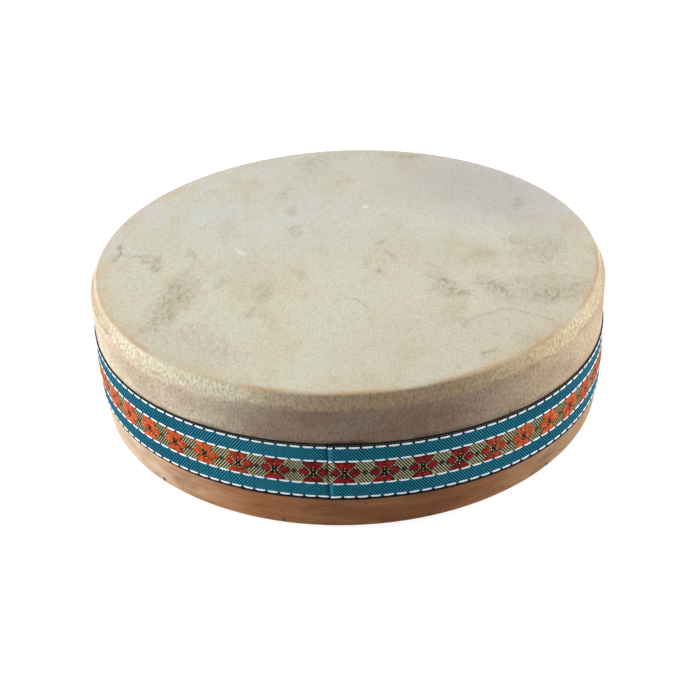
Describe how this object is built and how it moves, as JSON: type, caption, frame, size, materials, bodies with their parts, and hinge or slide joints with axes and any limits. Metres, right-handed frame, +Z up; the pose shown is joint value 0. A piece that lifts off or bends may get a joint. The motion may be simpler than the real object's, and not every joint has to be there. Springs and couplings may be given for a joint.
{
  "type": "ocean drum",
  "caption": "Shallow round drum of bent wood with one hide head, a woven ribbon round its side and loose steel beads sealed inside that roll with the sound of waves.",
  "frame": {"origin": "middle of the underside, on the surface that the drum stands on", "axes": "+Z is up, through the middle of the head; -Y is the front, where the ribbon's ends meet; +X is to the viewer's right"},
  "size_m": [0.2558, 0.2568, 0.07],
  "materials": {
    "bent_wood": "thin satin varnish on bent hardwood",
    "hide": "natural goat hide, matt, mottled",
    "woven_ribbon": "jacquard woven trim with satin threads",
    "plywood": "sanded plywood, matt",
    "steel_pin": "dull blued steel",
    "steel_bead": "polished steel shot"
  },
  "bodies": {
    "drum": {"shell": "bent_wood", "top_head": "hide", "head_tacks": "steel_pin", "ribbon": "woven_ribbon", "bottom_board": "plywood", "board_pins": "steel_pin", "scarf_pins": "steel_pin"},
    "rim_beads": {"rim_beads": "steel_bead"},
    "swirl_beads": {"swirl_beads": "steel_bead"},
    "bead_row_01": {"bead_row_01": "steel_bead"},
    "bead_row_02": {"bead_row_02": "steel_bead"},
    "bead_row_03": {"bead_row_03": "steel_bead"},
    "bead_row_04": {"bead_row_04": "steel_bead"},
    "bead_row_05": {"bead_row_05": "steel_bead"},
    "bead_row_06": {"bead_row_06": "steel_bead"},
    "bead_row_07": {"bead_row_07": "steel_bead"},
    "bead_row_08": {"bead_row_08": "steel_bead"},
    "bead_row_09": {"bead_row_09": "steel_bead"},
    "bead_row_10": {"bead_row_10": "steel_bead"},
    "bead_row_11": {"bead_row_11": "steel_bead"},
    "bead_row_12": {"bead_row_12": "steel_bead"},
    "bead_row_13": {"bead_row_13": "steel_bead"},
    "bead_row_14": {"bead_row_14": "steel_bead"},
    "bead_row_15": {"bead_row_15": "steel_bead"}
  },
  "joints": [
    {"name": "turn_over_drop", "type": "slide", "parent": "drum", "child": "rim_beads", "axis": [0, 0, 1], "range_m": [0, 0.0601]},
    {"name": "swirl", "type": "hinge", "parent": "rim_beads", "child": "swirl_beads", "pos_m": [0, 0, 0], "axis": [0, 0, 1], "continuous": true},
    {"name": "roll_01", "type": "slide", "parent": "swirl_beads", "child": "bead_row_01", "axis": [1, 0, 0], "range_m": [-0.0424, 0.0456]},
    {"name": "roll_02", "type": "slide", "parent": "swirl_beads", "child": "bead_row_02", "axis": [1, 0, 0], "range_m": [-0.0652, 0.033]},
    {"name": "roll_03", "type": "slide", "parent": "swirl_beads", "child": "bead_row_03", "axis": [1, 0, 0], "range_m": [-0.0264, 0.0844]},
    {"name": "roll_04", "type": "slide", "parent": "swirl_beads", "child": "bead_row_04", "axis": [1, 0, 0], "range_m": [-0.0828, 0.0325]},
    {"name": "roll_05", "type": "slide", "parent": "swirl_beads", "child": "bead_row_05", "axis": [1, 0, 0], "range_m": [-0.054, 0.0638]},
    {"name": "roll_06", "type": "slide", "parent": "swirl_beads", "child": "bead_row_06", "axis": [1, 0, 0], "range_m": [-0.045, 0.0825]},
    {"name": "roll_07", "type": "slide", "parent": "swirl_beads", "child": "bead_row_07", "axis": [1, 0, 0], "range_m": [-0.1003, 0.0309]},
    {"name": "roll_08", "type": "slide", "parent": "swirl_beads", "child": "bead_row_08", "axis": [1, 0, 0], "range_m": [-0.034, 0.0989]},
    {"name": "roll_09", "type": "slide", "parent": "swirl_beads", "child": "bead_row_09", "axis": [1, 0, 0], "range_m": [-0.078, 0.0532]},
    {"name": "roll_10", "type": "slide", "parent": "swirl_beads", "child": "bead_row_10", "axis": [1, 0, 0], "range_m": [-0.0765, 0.0509]},
    {"name": "roll_11", "type": "slide", "parent": "swirl_beads", "child": "bead_row_11", "axis": [1, 0, 0], "range_m": [-0.0306, 0.0872]},
    {"name": "roll_12", "type": "slide", "parent": "swirl_beads", "child": "bead_row_12", "axis": [1, 0, 0], "range_m": [-0.0878, 0.0281]},
    {"name": "roll_13", "type": "slide", "parent": "swirl_beads", "child": "bead_row_13", "axis": [1, 0, 0], "range_m": [-0.0406, 0.0716]},
    {"name": "roll_14", "type": "slide", "parent": "swirl_beads", "child": "bead_row_14", "axis": [1, 0, 0], "range_m": [-0.0433, 0.0548]},
    {"name": "roll_15", "type": "slide", "parent": "swirl_beads", "child": "bead_row_15", "axis": [1, 0, 0], "range_m": [-0.0588, 0.0261]}
  ]
}
